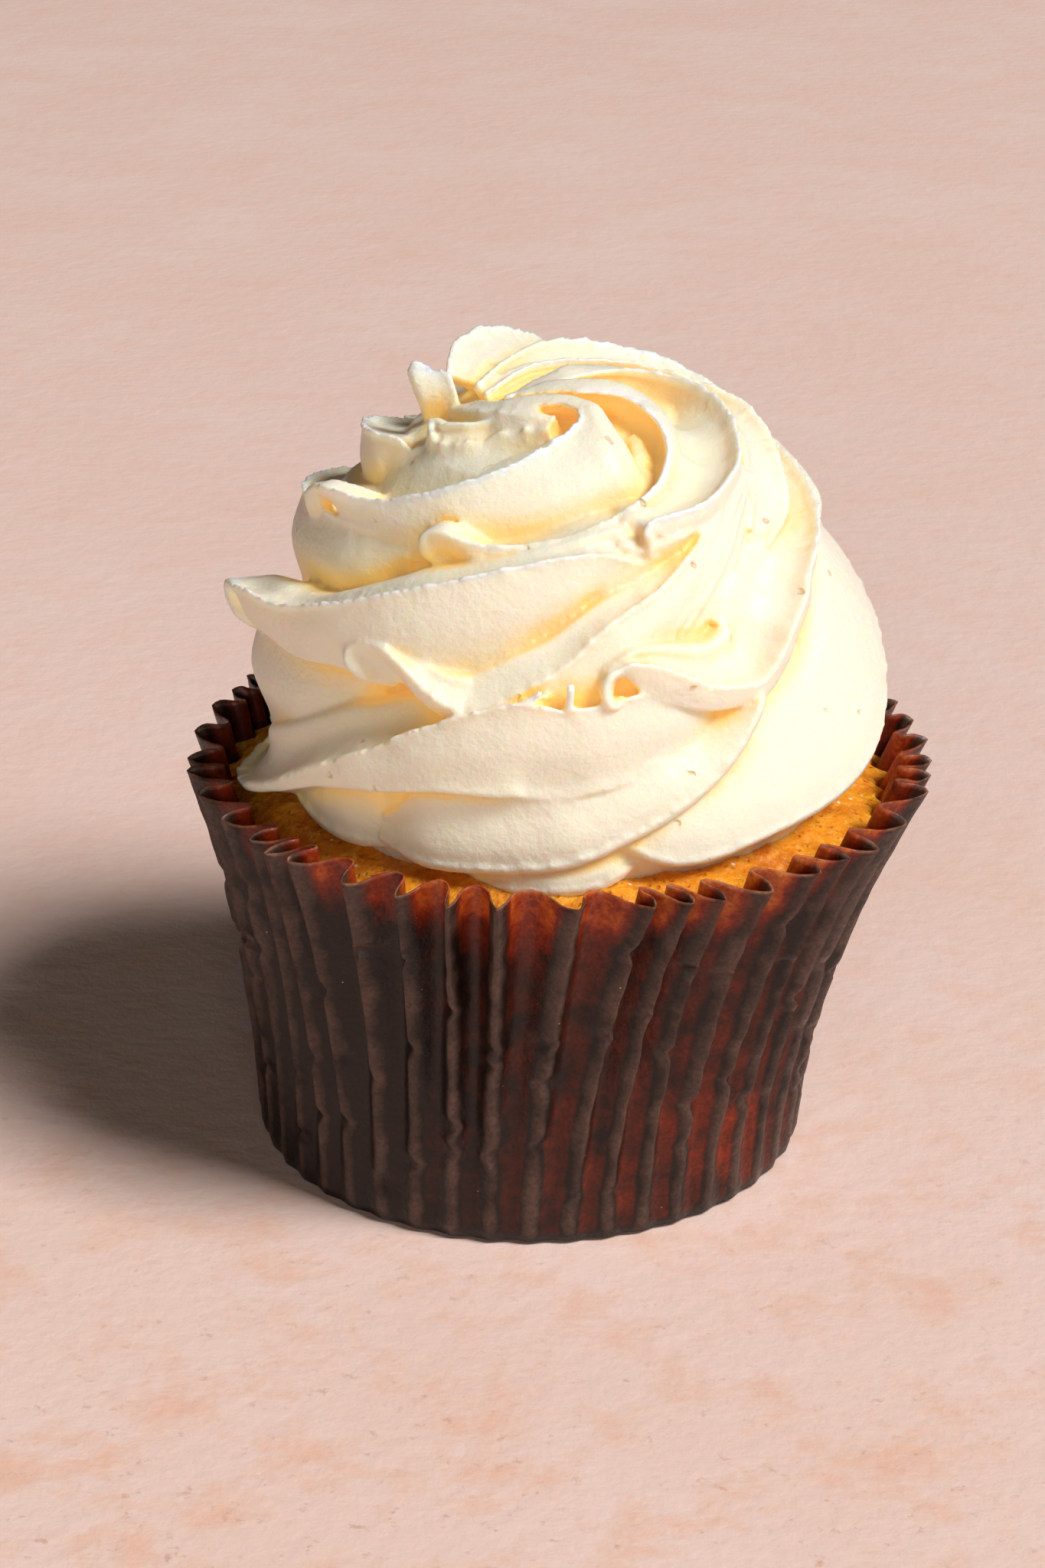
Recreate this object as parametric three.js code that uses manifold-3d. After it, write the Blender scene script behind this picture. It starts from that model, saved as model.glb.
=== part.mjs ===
// A cupcake: a dark pleated paper case, a domed golden cake and a tall piped swirl of cream.
// Millimetres, +Z up. The origin is the middle of the case's flat base, and the front faces -Y.

import * as THREE from "three";
import { mergeVertices } from "three/addons/utils/BufferGeometryUtils.js";
import Module from "manifold-3d";

const manifoldLib = await Module();
manifoldLib.setup();

// ---------------------------------------------------------------- driving dimensions

const baseRadius = 25.2; // middle of the pleats at the foot of the paper case
const rimRadius = 32; // middle of the pleats at the rim
const rimHeight = 37.6;
const leanX = 1.9; // the rim and the swirl stand this far off the middle of the base
const leanY = -0.8;
const waistX = -0.5; // and the foot of the wall leans the other way
const paperThickness = 0.4;
const pleatCount = 46;
const pleatDepthAtBase = 0.7; // outer fold to inner fold
const pleatDepthAtRim = 2.9;
const pleatSquareness = 0.42; // turns the flanks of a full-depth fold nearly radial
const pitchWaves = [ // waves round the case, swing in radians and start of the uneven pitch
  [5, 0.035, 1],
  [11, 0.03, 0],
];
const pointsPerPleat = 6;
const cornerRadius = 1.1; // between the flat base and the wall
const cornerHeight = 1.2;
const waistHeight = 19;
const rest = 0.3; // space kept between pieces that lie on each other
const weld = 1e-3; // points nearer than this are one

const cakeEdgeHeight = 33.6; // where the cake meets the paper
const cakeCrownHeight = 37.0;
const cakeShoulder = 1; // height of the rounded edge between side and crown
const cakeFoot = paperThickness + rest;
const cakePoints = 92; // round the cake's side
const crownShares = [0.97, 0.88, 0.7]; // rings of the crown, as shares of the cake's radius

const swirlFoot = 34.6; // lowest cream, pressed on to the cake's crown

// ---------------------------------------------------------------- small helpers

const degrees = (angle) => (angle * Math.PI) / 180;
const mix = (a, b, share) => a + (b - a) * share;
const clamp01 = (value) => Math.min(1, Math.max(0, value));

function smooth(from, to, value) {
  const share = clamp01((value - from) / (to - from));
  return share * share * (3 - 2 * share);
}

// a point on the swirl: azimuth from the front, counter-clockwise seen from above
function aroundSwirl(azimuth, height, reach) {
  const angle = degrees(azimuth);
  return new THREE.Vector3(leanX + reach * Math.sin(angle), leanY - reach * Math.cos(angle), height);
}

// closed body from rings of equally many points, closed at both ends by a fan
function loft(rings, firstPole, lastPole) {
  const positions = [firstPole, ...rings.flat(), lastPole].flatMap((p) => [p.x, p.y, p.z]);
  const count = rings[0].length;
  const last = rings.length * count + 1;
  const index = [];
  for (let ring = 0; ring <= rings.length; ring++) {
    for (let i = 0; i < count; i++) {
      const next = (i + 1) % count;
      const below = 1 + (ring - 1) * count;
      const above = 1 + ring * count;
      if (ring === 0) index.push(0, above + next, above + i);
      else if (ring === rings.length) index.push(last, below + i, below + next);
      else {
        index.push(below + i, below + next, above + i);
        index.push(above + i, below + next, above + next);
      }
    }
  }
  const geometry = new THREE.BufferGeometry();
  geometry.setAttribute("position", new THREE.Float32BufferAttribute(positions, 3));
  geometry.setIndex(index);
  return geometry;
}

function toManifold(geometry) {
  const merged = mergeVertices(geometry, weld);
  return new manifoldLib.Manifold(new manifoldLib.Mesh({
    numProp: 3,
    vertProperties: new Float32Array(merged.attributes.position.array),
    triVerts: new Uint32Array(merged.index.array),
  }));
}

function fromManifold(solid) {
  const mesh = solid.getMesh();
  const geometry = new THREE.BufferGeometry();
  geometry.setAttribute("position", new THREE.Float32BufferAttribute(mesh.vertProperties, 3));
  geometry.setIndex(Array.from(mesh.triVerts));
  return geometry;
}

// a profile of [distance from the swirl's axis, height] turned about that axis
function turned(profile, sides) {
  const geometry = new THREE.LatheGeometry(profile.map((point) => new THREE.Vector2(...point)), sides);
  geometry.rotateX(Math.PI / 2);
  geometry.deleteAttribute("normal");
  geometry.deleteAttribute("uv");
  geometry.translate(leanX, leanY, 0);
  return geometry;
}

// ---------------------------------------------------------------- paper case

// how far a size has gone from its value at the foot to the one at the rim; with a power above
// 1 most of the change comes near the rim
const climb = (height, power) => clamp01(height / rimHeight) ** power;

const wallRadius = (height) => mix(baseRadius, rimRadius, climb(height, 2));

const pleatDepth = (height) => mix(pleatDepthAtBase, pleatDepthAtRim, climb(height, 0.9));

function wallCentre(height) {
  const share = climb(height, 1.6);
  return [mix(waistX, leanX, share), leanY * share];
}

// one turn of folds: rounded tips, nearly radial flanks, and a slightly uneven pitch
function pleatOutline(height, offset) {
  const [centreX, centreY] = wallCentre(height);
  const total = pleatCount * pointsPerPleat;
  const line = [];
  for (let i = 0; i < total; i++) {
    const phase = (i / pointsPerPleat) * 2 * Math.PI;
    const turn = (i / total) * 2 * Math.PI;
    const uneven = pitchWaves.reduce((sum, [waves, swing, start]) =>
      sum + swing * Math.sin(waves * turn + start), 0);
    const squeeze = (pleatSquareness * Math.sin(2 * phase)) / pleatCount;
    const radius = wallRadius(height) + 0.5 * pleatDepth(height) * Math.cos(phase);
    const angle = turn + (uneven + squeeze) * climb(height, 1);
    line.push(new THREE.Vector2(centreX + radius * Math.sin(angle), centreY - radius * Math.cos(angle)));
  }
  return line.map((point, i) => {
    const before = line[(i + total - 1) % total];
    const after = line[(i + 1) % total];
    const normal = new THREE.Vector2(after.y - before.y, before.x - after.x).normalize();
    return new THREE.Vector3(point.x + normal.x * offset, point.y + normal.y * offset, height);
  });
}

function paperCase() {
  const half = paperThickness / 2;
  const levels = [cornerHeight, waistHeight, rimHeight];
  const foot = pleatOutline(0, -cornerRadius);
  const outer = levels.map((height) => pleatOutline(height, half));
  const inner = levels.toReversed().map((height) => pleatOutline(height, -half));
  const floor = pleatOutline(paperThickness, -cornerRadius - half);
  return loft([foot, ...outer, ...inner, floor],
    new THREE.Vector3(waistX, 0, 0), new THREE.Vector3(waistX, 0, paperThickness));
}

// ---------------------------------------------------------------- cake

// height of the cake's crown at a distance from its middle
function crown(reach, lift = 0) {
  const share = clamp01(reach / (rimRadius - 1.5));
  return mix(cakeCrownHeight, cakeEdgeHeight, share ** 5) + lift;
}

// the cake's side stands just inside the inner folds
function cakeRing(height, share = 1) {
  const [centreX, centreY] = wallCentre(height);
  const fold = wallRadius(height) - 0.5 * pleatDepth(height) - paperThickness / 2 - rest;
  return Array.from({ length: cakePoints }, (_, i) => {
    const angle = (i / cakePoints) * 2 * Math.PI;
    return new THREE.Vector3(centreX + share * fold * Math.sin(angle),
      centreY - share * fold * Math.cos(angle), height);
  });
}

function cake() {
  const side = [cornerHeight, waistHeight, cakeEdgeHeight - cakeShoulder].map((height) => cakeRing(height));
  const top = crownShares.map((share) => cakeRing(cakeEdgeHeight, share).map((point) =>
    point.setZ(crown(Math.hypot(point.x - leanX, point.y - leanY)))));
  const foot = cakeRing(cornerHeight, 0.96).map((point) => point.setZ(cakeFoot));
  return loft([foot, ...side, ...top],
    new THREE.Vector3(waistX, 0, cakeFoot), new THREE.Vector3(leanX, leanY, cakeCrownHeight));
}

// ---------------------------------------------------------------- cream swirl

// The piped rope's middle: [path angle, height, reach]. The path angle is an azimuth that keeps
// counting as the rope climbs: 0 to 360 is the turn on the cake, and the tip lies past 1080.
const ropeKeys = [
  [-60, 43, 17.5],
  [90, 44, 17.5],
  [270, 45, 17.5],
  [360, 46.3, 17],
  [450, 52, 16],
  [630, 57, 14.5],
  [720, 59.7, 13.5],
  [810, 63.5, 11.5],
  [990, 67, 8],
  [1080, 69, 5.5],
  [1200, 70, 2],
];

// Each ridge of the rope is a blade along its crest, from where it comes out of the crease below
// to where it slips under the turn above. Its keys are [path angle, height, reach]. face is how
// far the broad side runs down from the crest, back how far the other side runs up into the
// crease, fall how steep that back is, and thin the share of its length that starts as a lip.
const firstTurn = [
  {
    keys: [[6, 41, 25], [21, 37.6, 27.5], [42, 38.3, 28.3], [65, 38.8, 28.8], [80, 41.5, 29.3],
      [95, 48, 28.8], [108, 53, 27], [120, 57, 24]],
    face: 4, back: 11, fall: 0.5,
  },
  {
    keys: [[95, 37.6, 26], [130, 38, 28.3], [165, 42, 28], [195, 48, 27], [215, 52, 25]],
    face: 9, back: 6,
  },
  {
    keys: [[165, 37.6, 27.5], [195, 41, 27.8], [235, 47, 27.6], [270, 50.3, 27.2],
      [298, 52.5, 26.5], [320, 54, 25]],
    face: 10, back: 4,
  },
  {
    keys: [[225, 37.6, 26], [245, 37.4, 27.4], [260, 38, 27]],
    face: 5, back: 5,
  },
  {
    keys: [[260, 36.2, 27], [283, 36.9, 29], [304, 41.3, 29], [332, 49.2, 28], [355, 53.2, 25.5],
      [372, 55.5, 22.5]],
    face: 9, back: 6,
  },
  {
    keys: [[316, 37.6, 26], [336, 37.6, 27.2], [360, 38.9, 27.3], [378, 42.7, 27],
      [394, 46.7, 26], [406, 52, 24.5], [414, 55, 22]],
    face: 5, back: 9, fall: 0.5,
  },
  {
    keys: [[288, 37.7, 23.5], [302, 37.5, 25.2], [316, 37.5, 25.4], [330, 38, 24]],
    face: 4, back: 6,
  },
];
const secondTurn = [
  {
    keys: [[368, 53.8, 23], [376, 55.4, 25], [390, 53, 26], [402, 52, 25.5], [412, 53, 23]],
    face: 3, back: 4, thin: 0.3,
  },
  {
    keys: [[396, 51, 24], [406, 53.5, 25.5], [416, 57, 25], [430, 58.3, 23.8],
      [448, 58.8, 22.5], [465, 61, 20.5], [482, 63, 18]],
    face: 8, back: 6,
  },
  {
    keys: [[448, 51, 25], [470, 53.5, 26.8], [500, 58, 25.5], [525, 62, 22], [545, 64.5, 19]],
    face: 8, back: 6,
  },
  {
    keys: [[498, 51, 25.5], [520, 53, 26.6], [545, 58, 25], [570, 62, 22], [590, 64.5, 19]],
    face: 8, back: 6,
  },
  {
    keys: [[548, 52.5, 25], [585, 57.5, 24.8], [615, 60, 23.6], [634, 60.8, 23.2],
      [660, 62.8, 22], [678, 64, 20.5]],
    face: 9, back: 4,
  },
  {
    keys: [[624, 53.5, 28], [636, 53.8, 30], [651, 55.7, 29.6], [670, 58, 28], [690, 61.1, 25.3],
      [710, 63.6, 22.5], [728, 63.9, 20.8], [742, 62.3, 20], [756, 62.8, 19]],
    face: 9, back: 6, thin: 0.5,
  },
  {
    keys: [[676, 55.2, 26], [686, 55.2, 27.4], [696, 53, 27.6], [705, 52, 27.2], [720, 55, 25.8],
      [736, 59.3, 24.5], [747, 63.3, 23], [756, 66, 21], [766, 68, 18.5]],
    face: 5, back: 5, thin: 0.6,
  },
];
const thirdTurn = [
  {
    keys: [[737, 65.6, 20], [746, 66.6, 21], [758, 66.9, 20.6], [770, 69, 19.5],
      [781, 70.5, 16.8], [794, 71.3, 14], [810, 72, 10], [820, 72.5, 5.3], [1050, 72.5, 3],
      [1022, 71.3, 7]],
    face: 6, back: 5,
  },
  {
    keys: [[776, 61.5, 21], [790, 63.3, 20.6], [798, 66, 19.3], [808, 68, 17.8],
      [818, 69.8, 15.8], [827, 71.1, 12], [840, 72.3, 7.5], [960, 72.8, 3], [1010, 71.6, 7.5]],
    face: 6, back: 5,
  },
  {
    keys: [[826, 64.5, 19], [845, 67.4, 17.5], [865, 69.8, 15.2], [885, 71.4, 12],
      [910, 72.4, 8.5], [950, 72.6, 6], [1000, 71.6, 8]],
    face: 6, back: 5,
  },
  {
    keys: [[870, 64.5, 18.5], [888, 68, 16.8], [906, 71.2, 13], [926, 73, 10.8],
      [946, 73.4, 10.6], [964, 72.8, 11.2], [982, 71.2, 11]],
    face: 6, back: 4,
  },
  {
    keys: [[916, 64, 18.5], [936, 67.5, 17.3], [954, 71.2, 14.8], [968, 72.6, 13.8],
      [980, 72, 12.6], [995, 70.8, 11]],
    face: 5, back: 4,
  },
  {
    keys: [[946, 64, 18], [975, 67, 18.2], [998, 68.4, 17.8], [1014, 69.5, 16.5],
      [1030, 70, 15], [1045, 70.8, 12.5]],
    face: 6, back: 4,
  },
  {
    keys: [[982, 62, 20.5], [992, 62.4, 22.3], [1010, 64, 22], [1030, 66, 20.5],
      [1047, 67.8, 18], [1065, 69.7, 15], [1080, 71.6, 12], [1088, 72.6, 10.2],
      [1078, 73.2, 8.6], [1052, 72.8, 8.4], [1020, 71.2, 9]],
    face: 7, back: 5, thin: 0.3,
  },
  {
    keys: [[1038, 62.3, 20.5], [1046, 64.1, 21], [1060, 64.1, 20.4], [1076, 64.4, 19.5],
      [1093, 66, 18.5], [1109, 68, 17.4], [1117, 70.3, 15.2], [1120, 72.3, 11.8],
      [1117, 73.2, 8.4], [1090, 73.4, 6], [1030, 72.4, 7]],
    face: 5, back: 5, thin: 0.4,
  },
];

const bladeTip = 0.9; // thickness of a crest
const bladeLean = 0.6; // a crest leans this far over the crease behind it
const bladeRoot = 9; // how far a blade reaches into the rope
const bladeStep = 3.4; // along a crest
const lipWidth = 0.35; // of a blade that starts as a thin lip, as a share of its full width
const lipFall = 2.4; // and how much steeper its back is there
const bladeStart = { size: 0.35, until: 0.22 }; // a blade swells from this share of its size
const bladeEnd = { size: 0.6, from: 0.8 }; // and shrinks to this one

// the rope's middle behind a point of a crest
function ropeMiddle(pathAngle) {
  const found = ropeKeys.findIndex((key) => key[0] > pathAngle);
  const [from, to] = [ropeKeys[found - 1], ropeKeys[found]];
  const share = (pathAngle - from[0]) / (to[0] - from[0]);
  return aroundSwirl(pathAngle, mix(from[1], to[1], share), mix(from[2], to[2], share));
}

// A blade's cross-section: [up along the surface, out from the rope]. It runs from the crest down
// the slightly hollow face, round through the rope, and up the back to the crest again.
function bladeSection(face, back, fall, size) {
  const tip = bladeTip * Math.max(size, 0.5);
  const root = bladeRoot * mix(0.4, 1, size);
  return [
    [bladeLean + 0.5 * tip, 0],
    [bladeLean - 0.5 * tip, 0.1],
    [-0.4 * face, -0.11 * face - 0.1],
    [-face, -0.48 * face],
    [-0.6 * face, -root],
    [0.5 * back, -root],
    [back, -fall * back],
    [0.3 * back + 0.5 * tip, -0.6 * fall * back],
  ];
}

function blade({ keys, face, back, fall = 1.1, thin = 0.12 }) {
  const crest = new THREE.CatmullRomCurve3(keys.map((key) => aroundSwirl(...key)), false, "centripetal");
  const steps = Math.max(6, Math.round(crest.getLength() / bladeStep));
  const rings = [];
  for (let step = 0; step <= steps; step++) {
    const share = step / steps;
    const at = crest.getPointAt(share);
    const along = crest.getTangentAt(share);
    const place = crest.getUtoTmapping(share) * (keys.length - 1);
    const key = Math.min(Math.floor(place), keys.length - 2);
    const out = at.clone().sub(ropeMiddle(mix(keys[key][0], keys[key + 1][0], place - key)));
    const depth = Math.min(1, out.length() / bladeRoot);
    out.addScaledVector(along, -out.dot(along)).normalize();
    const up = new THREE.Vector3().crossVectors(out, along);
    const size = mix(bladeStart.size, 1, smooth(0, bladeStart.until, share))
      * mix(bladeEnd.size, 1, smooth(1, bladeEnd.from, share));
    const full = smooth(0, thin, share);
    const width = size * mix(lipWidth, 1, full);
    const steepness = fall * mix(lipFall, 1, full);
    rings.push(bladeSection(face * width, back * width, steepness, size).map(([rise, reach]) =>
      at.clone().addScaledVector(up, rise).addScaledVector(out, reach * depth)));
  }
  const middle = (ring) => ring.reduce((sum, point) => sum.add(point), new THREE.Vector3())
    .multiplyScalar(1 / ring.length);
  return loft(rings, middle(rings[0]), middle(rings[steps]));
}

// the cream behind the ridges, as deep as the creases: [reach, height]
const heartProfile = [
  [0, swirlFoot],
  [24, swirlFoot],
  [25.4, 38],
  [24.4, 43],
  [22.6, 49],
  [20.6, 53],
  [19.6, 58],
  [17, 63],
  [13.5, 67],
  [9, 69.6],
  [0, 70.6],
];

// everything below the cake's crown, to trim the cream where it lies on the cake
function belowCrown() {
  const widest = 40;
  const top = [widest, 36, 32, 30, 28, 26, 22, 12, 0].map((reach) => [reach, crown(reach, rest)]);
  return turned([[0, 0], [widest, 0], ...top], 48);
}

function frosting() {
  const blades = [...firstTurn, ...secondTurn, ...thirdTurn].map((ridge) => toManifold(blade(ridge)));
  const swirl = blades.reduce((body, next) => body.add(next), toManifold(turned(heartProfile, 28)));
  const trimmed = toManifold(fromManifold(swirl.subtract(toManifold(belowCrown()))));
  // the outer shell alone, so that no bubble stays shut between the ridges
  return fromManifold(trimmed.decompose().reduce((a, b) => (a.volume() > b.volume() ? a : b)));
}

// ---------------------------------------------------------------- the part

const finishes = {
  paper: { color: 0x3a2520, roughness: 0.7, metalness: 0 },
  crumb: { color: 0xd98a2b, roughness: 0.75, metalness: 0 },
  cream: { color: 0xf6ebc9, roughness: 0.5, metalness: 0 },
};

function piece(name, geometry, finish) {
  const mesh = new THREE.Mesh(geometry, new THREE.MeshStandardMaterial(finishes[finish]));
  mesh.name = name;
  return mesh;
}

const cupcake = new THREE.Group();
cupcake.add(
  piece("paper_case", paperCase(), "paper"),
  piece("cake", cake(), "crumb"),
  piece("frosting", frosting(), "cream"),
);

export default cupcake;
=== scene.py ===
import math
import random

import bpy
import numpy as np
from mathutils import Matrix, Vector, noise
from mathutils.bvhtree import BVHTree


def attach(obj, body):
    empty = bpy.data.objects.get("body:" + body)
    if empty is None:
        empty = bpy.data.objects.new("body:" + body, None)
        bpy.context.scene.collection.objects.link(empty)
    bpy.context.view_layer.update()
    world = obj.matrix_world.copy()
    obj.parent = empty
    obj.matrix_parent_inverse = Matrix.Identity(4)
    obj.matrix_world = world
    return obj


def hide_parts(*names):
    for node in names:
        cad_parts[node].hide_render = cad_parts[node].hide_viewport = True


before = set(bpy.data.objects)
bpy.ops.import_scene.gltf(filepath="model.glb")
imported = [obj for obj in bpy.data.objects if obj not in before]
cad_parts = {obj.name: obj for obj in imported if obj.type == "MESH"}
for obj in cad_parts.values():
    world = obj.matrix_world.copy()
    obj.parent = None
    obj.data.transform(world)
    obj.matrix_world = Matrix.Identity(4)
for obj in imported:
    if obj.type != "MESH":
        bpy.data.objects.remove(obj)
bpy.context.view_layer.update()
bpy.ops.object.select_all(action="DESELECT")
print("frame loaded")

# lengths are worked out in mm, and become metres in the meshes and materials
mm = 0.001

# the rim of the case and the swirl lean: their axis stands this far off the middle of the base
axisX, axisY = 1.9, -0.8


def mix(a, b, share):
    return a + (b - a) * share


def smooth(start, end, value):
    share = min(1.0, max(0.0, (value - start) / (end - start)))
    return share * share * (3 - 2 * share)


# azimuth 0 is the front, and it grows counter-clockwise seen from above
def aroundSwirl(azimuth, height, reach):
    angle = math.radians(azimuth)
    return np.array([axisX + reach * math.sin(angle), axisY - reach * math.cos(angle), height])


def meshObject(name, points, faces):
    mesh = bpy.data.meshes.new(name)
    mesh.from_pydata([tuple(p) for p in points], [], faces)
    mesh.update()
    obj = bpy.data.objects.new(name, mesh)
    bpy.context.scene.collection.objects.link(obj)
    return obj


# quads between rings of "count" points, which follow each other from the point "first" on
def loftFaces(rings, count, first=0):
    faces = []
    for r in range(rings - 1):
        low, high = first + r * count, first + (r + 1) * count
        for i in range(count):
            j = (i + 1) % count
            faces.append((low + i, low + j, high + j, high + i))
    return faces


def addAttribute(obj, name, values):
    layer = obj.data.attributes.new(name, "FLOAT", "POINT")
    layer.data.foreach_set("value", values)


def applyModifier(obj, kind, **settings):
    bpy.ops.object.select_all(action="DESELECT")
    obj.select_set(True)
    bpy.context.view_layer.objects.active = obj
    modifier = obj.modifiers.new(kind, kind)
    for key, value in settings.items():
        setattr(modifier, key, value)
    bpy.ops.object.modifier_apply(modifier=modifier.name)


def shadeSmooth(obj):
    obj.data.polygons.foreach_set("use_smooth", [True] * len(obj.data.polygons))
    obj.data.update()


# ---- materials: small helpers for their nodes

# a socket is named by its own name, or by _ and its number where names repeat
class Nodes:
    def __init__(self, tree):
        self.tree = tree

    def add(self, kind, settings=None, **inputs):
        node = self.tree.nodes.new(kind)
        for key, value in (settings or {}).items():
            setattr(node, key, value)
        for key, value in inputs.items():
            self.put(node, key, value)
        return node

    def put(self, node, name, value):
        socket = node.inputs[int(name[1:])] if name[0] == "_" else node.inputs[name.replace("_", " ")]
        if isinstance(value, bpy.types.NodeSocket):
            self.tree.links.new(value, socket)
        else:
            socket.default_value = value

    def attribute(self, name):
        return self.add("ShaderNodeAttribute", {"attribute_name": name}).outputs["Fac"]

    def place(self):
        return self.add("ShaderNodeTexCoord").outputs["Object"]

    def noise(self, place, scale, detail, rough):
        return self.add("ShaderNodeTexNoise", None, Vector=place, Scale=scale, Detail=detail,
                        Roughness=rough).outputs["Fac"]

    # the look's pattern of this name, within its range
    def pattern(self, place, look, name):
        return self.between(self.noise(place, *look[name]), *look[name + "Range"])

    def between(self, value, low, high, start=0.0, end=1.0):
        return self.add("ShaderNodeMapRange", None, _0=value, _1=low, _2=high, _3=start, _4=end).outputs[0]

    def spots(self, place, scale, size, core, bare):
        return self.add("ShaderNodeGroup", {"node_tree": spotNodes}, Vector=place, Scale=scale, Size=size,
                        Core=core, Bare=bare).outputs["Mask"]

    def math(self, operation, a, b):
        return self.add("ShaderNodeMath", {"operation": operation}, _0=a, _1=b).outputs[0]

    def times(self, a, b):
        return self.math("MULTIPLY", a, b)

    def blend(self, share, a, b):
        node = self.add("ShaderNodeMix", {"data_type": "RGBA"})
        for index, value in ((0, share), (6, a), (7, b)):
            self.put(node, "_%d" % index, value)
        return node.outputs[2]

    def bump(self, height, distance, normal=None):
        node = self.add("ShaderNodeBump", None, Strength=1.0, Distance=distance, Height=height)
        if normal is not None:
            self.put(node, "Normal", normal)
        return node.outputs[0]


# small round spots scattered through space, one in each cell but for the share of bare cells:
# "Size" is where a spot begins and "Core" where it is full, as shares of a cell
def spotGroup():
    group = bpy.data.node_groups.new("spots", "ShaderNodeTree")
    group.interface.new_socket("Vector", in_out="INPUT", socket_type="NodeSocketVector")
    for name in ("Scale", "Size", "Core", "Bare"):
        group.interface.new_socket(name, in_out="INPUT", socket_type="NodeSocketFloat")
    group.interface.new_socket("Mask", in_out="OUTPUT", socket_type="NodeSocketFloat")
    nodes = Nodes(group)
    source = nodes.add("NodeGroupInput").outputs
    cells = nodes.add("ShaderNodeTexVoronoi", None, Vector=source["Vector"], Scale=source["Scale"])
    lot = nodes.add("ShaderNodeSeparateColor", None, Color=cells.outputs["Color"]).outputs[0]
    chosen = nodes.math("GREATER_THAN", lot, source["Bare"])
    disc = nodes.between(cells.outputs["Distance"], source["Size"], source["Core"])
    nodes.add("NodeGroupOutput", None, Mask=nodes.times(disc, chosen))
    return group


spotNodes = spotGroup()


def newMaterial(name, look):
    material = bpy.data.materials.new(name)
    material.use_nodes = True
    shader = material.node_tree.nodes["Principled BSDF"]
    for key, value in look["shader"].items():
        shader.inputs[key].default_value = value
    return material, Nodes(material.node_tree), shader


# ---- camera, floor and light

view = {
    "elevation": 24.298, "roll": 0.6, "distance": 0.36, "target": (-0.001465, 0, 0.03353), "lens": 91.06,
    "sensor": 36, "nearest": 0.01,
}


def addCamera():
    up = math.radians(view["elevation"])
    roll = math.radians(view["roll"])
    back = Vector((0, -math.cos(up), math.sin(up)))
    across = Vector((1, 0, 0))
    above = across.cross(-back)
    right = across * math.cos(roll) + above * math.sin(roll)
    top = above * math.cos(roll) - across * math.sin(roll)
    data = bpy.data.cameras.new("camera")
    data.lens = view["lens"]
    data.sensor_width = view["sensor"]
    data.clip_start = view["nearest"]
    camera = bpy.data.objects.new("camera", data)
    bpy.context.scene.collection.objects.link(camera)
    turn = Matrix((right, top, back)).transposed().to_4x4()
    camera.matrix_world = Matrix.Translation(Vector(view["target"]) + back * view["distance"]) @ turn
    bpy.context.scene.camera = camera


addCamera()

studio = {
    "key": {"power": 385, "size": 2.0, "place": (3.37, -2.1, 4.57), "color": (1.0, 0.985, 0.98)},
    "fill": {"power": 34, "size": 2.2, "place": (-0.35, -3.3, 0.95), "color": (1.0, 0.94, 0.86)},
    "aim": (0, 0, 0.04), "skyColor": (1.0, 0.72, 0.5), "skyStrength": 0.009,
}


def addArea(name, power, size, place, color):
    data = bpy.data.lights.new(name, "AREA")
    data.energy = power
    data.size = size
    data.color = color
    lamp = bpy.data.objects.new(name, data)
    lamp.location = place
    lamp.rotation_euler = (Vector(place) - Vector(studio["aim"])).to_track_quat("Z", "Y").to_euler()
    bpy.context.scene.collection.objects.link(lamp)


for name in ("key", "fill"):
    addArea(name, **studio[name])

world = bpy.data.worlds.new("studio")
world.use_nodes = True
sky = world.node_tree.nodes["Background"].inputs
sky["Color"].default_value = (*studio["skyColor"], 1)
sky["Strength"].default_value = studio["skyStrength"]
bpy.context.scene.world = world
bpy.context.scene.view_settings.view_transform = "Standard"


# in every look, a pattern is (scale, detail, roughness), and a range is where it starts and is full, with
# or without the shares it then has; the floor's patches and specks fade from "near" to "far"
floorLook = {
    "shader": {"Roughness": 0.75}, "size": 6, "near": -0.09, "far": 0.06, "farShare": 0.25,
    "plain": (0.92, 0.665, 0.57, 1), "pale": (0.95, 0.73, 0.66, 1), "paleShare": 0.6,
    "cloud": (28, 3, 0.6), "cloudRange": (0.35, 0.65),
    "warm": (0.92, 0.55, 0.40, 1), "patch": (110, 5, 0.7), "patchRange": (0.48, 0.66),
    "brown": (0.62, 0.36, 0.25, 1), "speck": (480, 5, 0.7), "speckRange": (0.6, 0.68, 0.0, 0.75),
    "stroke": (420, 4, 0.6), "strokeDepth": 0.15 * mm,
}


def floorMaterial():
    look = floorLook
    material, nodes, shader = newMaterial("floor_paint", look)
    place = nodes.place()
    depth = nodes.add("ShaderNodeSeparateXYZ", None, Vector=place).outputs[1]
    near = nodes.between(depth, look["far"], look["near"], look["farShare"], 1.0)
    cloud = nodes.pattern(place, look, "cloud")
    color = nodes.blend(nodes.times(cloud, look["paleShare"]), look["plain"], look["pale"])
    patch = nodes.pattern(place, look, "patch")
    color = nodes.blend(nodes.times(patch, near), color, look["warm"])
    speck = nodes.pattern(place, look, "speck")
    color = nodes.blend(nodes.times(speck, nodes.times(near, near)), color, look["brown"])
    nodes.put(shader, "Base_Color", color)
    nodes.put(shader, "Normal", nodes.bump(nodes.noise(place, *look["stroke"]), look["strokeDepth"]))
    return material


bpy.ops.mesh.primitive_plane_add(size=floorLook["size"])
floor = bpy.context.object
floor.name = "floor"
floor.data.materials.append(floorMaterial())
print("camera, floor and light")

# ---- the cream swirl

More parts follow.
